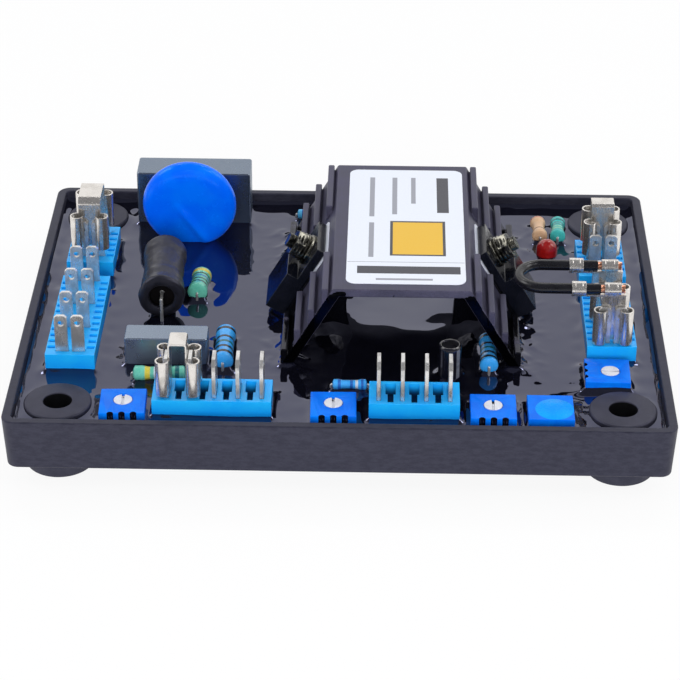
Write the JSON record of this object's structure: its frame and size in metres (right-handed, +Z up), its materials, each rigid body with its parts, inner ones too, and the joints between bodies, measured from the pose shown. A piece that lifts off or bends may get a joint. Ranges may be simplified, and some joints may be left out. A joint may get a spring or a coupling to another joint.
{
  "type": "automatic voltage regulator",
  "caption": "Generator voltage regulator: a circuit board potted in an open tray with rubber mounts, finned heat sink, blue terminal blocks, push-on links and trimmers.",
  "frame": {"origin": "centre of the tray, on the plane of its four feet", "axes": "+X to the right along the long side, +Y to the back, +Z up out of the tray"},
  "size_m": [0.138, 0.1034, 0.0333],
  "materials": {
    "tray": "moulded, fine grain",
    "resin": "poured, glossy",
    "board": "laminate",
    "bush": "moulded rubber",
    "heatsink": "extruded, black anodised",
    "label": "blank printed sheet",
    "device": "moulded epoxy",
    "pad": "insulating sheet",
    "hardware": "plated",
    "dark_box": "moulded case",
    "block": "moulded",
    "blade": "tinned",
    "link": "nickel plated",
    "wire": "insulation",
    "copper": "bare copper",
    "trimmer": "moulded",
    "rotor": "moulded",
    "lacquer": "dried drop",
    "film_case": "moulded case",
    "varistor": "dipped coating",
    "sleeve": "heat-shrink",
    "ferrite": "wound core",
    "resistor_green": "lacquered",
    "resistor_blue": "lacquered",
    "resistor_tan": "lacquered",
    "can": "sleeved can",
    "lamp": "tinted lens"
  },
  "bodies": {
    "regulator": {"tray": "tray", "resin_fill": "resin", "circuit_board": "board", "bush_front_left": "bush", "bush_front_right": "bush", "bush_rear_left": "bush", "bush_rear_right": "bush", "heatsink": "heatsink", "blank_label": "label", "power_device_left": "device", "power_device_right": "device", "insulating_pads": "pad", "clamp_screws": "hardware", "clamp_washers": "hardware", "clamp_nuts": "hardware", "undersink_boxes": "dark_box", "block_left_front": "block", "block_left_rear": "block", "block_front_left": "block", "block_front_right": "block", "block_right_front": "block", "block_right_rear": "block", "tabs_left_front": "blade", "tabs_left_rear": "blade", "tabs_front_left": "blade", "tabs_front_right": "blade", "tabs_right_front": "blade", "tabs_right_rear": "blade", "link_left_rear": "link", "link_front": "link", "link_right_rear": "link", "flag_front": "link", "flag_rear": "link", "link_wire": "wire", "wire_strands": "copper", "trimmer_a": "trimmer", "trimmer_b": "trimmer", "trimmer_c": "trimmer", "trimmer_d": "trimmer", "trimmer_sealed": "trimmer", "seal_lacquer": "lacquer", "film_capacitor": "film_case", "small_film_capacitor": "film_case", "varistor": "varistor", "choke_sleeve": "sleeve", "choke_core": "ferrite", "resistor_by_choke": "resistor_green", "resistor_front_left": "resistor_green", "resistor_blue_left": "resistor_blue", "resistor_blue_front": "resistor_blue", "resistor_blue_right": "resistor_blue", "resistor_rear": "resistor_blue", "resistors_by_lamp": "resistor_tan", "can_capacitor": "can", "indicator_lamp": "lamp"},
    "rotor_a": {"rotor_a": "rotor"},
    "rotor_b": {"rotor_b": "rotor"},
    "rotor_c": {"rotor_c": "rotor"},
    "rotor_d": {"rotor_d": "rotor"}
  },
  "joints": [
    {"name": "trim_a", "type": "hinge", "parent": "regulator", "child": "rotor_a", "pos_m": [-0.04472, -0.0421, 0.01535], "axis": [0, 0, 1], "range_deg": [-135, 135]},
    {"name": "trim_b", "type": "hinge", "parent": "regulator", "child": "rotor_b", "pos_m": [-0.00131, -0.0421, 0.01535], "axis": [0, 0, 1], "range_deg": [-135, 135]},
    {"name": "trim_c", "type": "hinge", "parent": "regulator", "child": "rotor_c", "pos_m": [0.0316, -0.0421, 0.01535], "axis": [0, 0, 1], "range_deg": [-135, 135]},
    {"name": "trim_d", "type": "hinge", "parent": "regulator", "child": "rotor_d", "pos_m": [0.0566, -0.02801, 0.01535], "axis": [0, 0, 1], "range_deg": [-135, 135]}
  ]
}
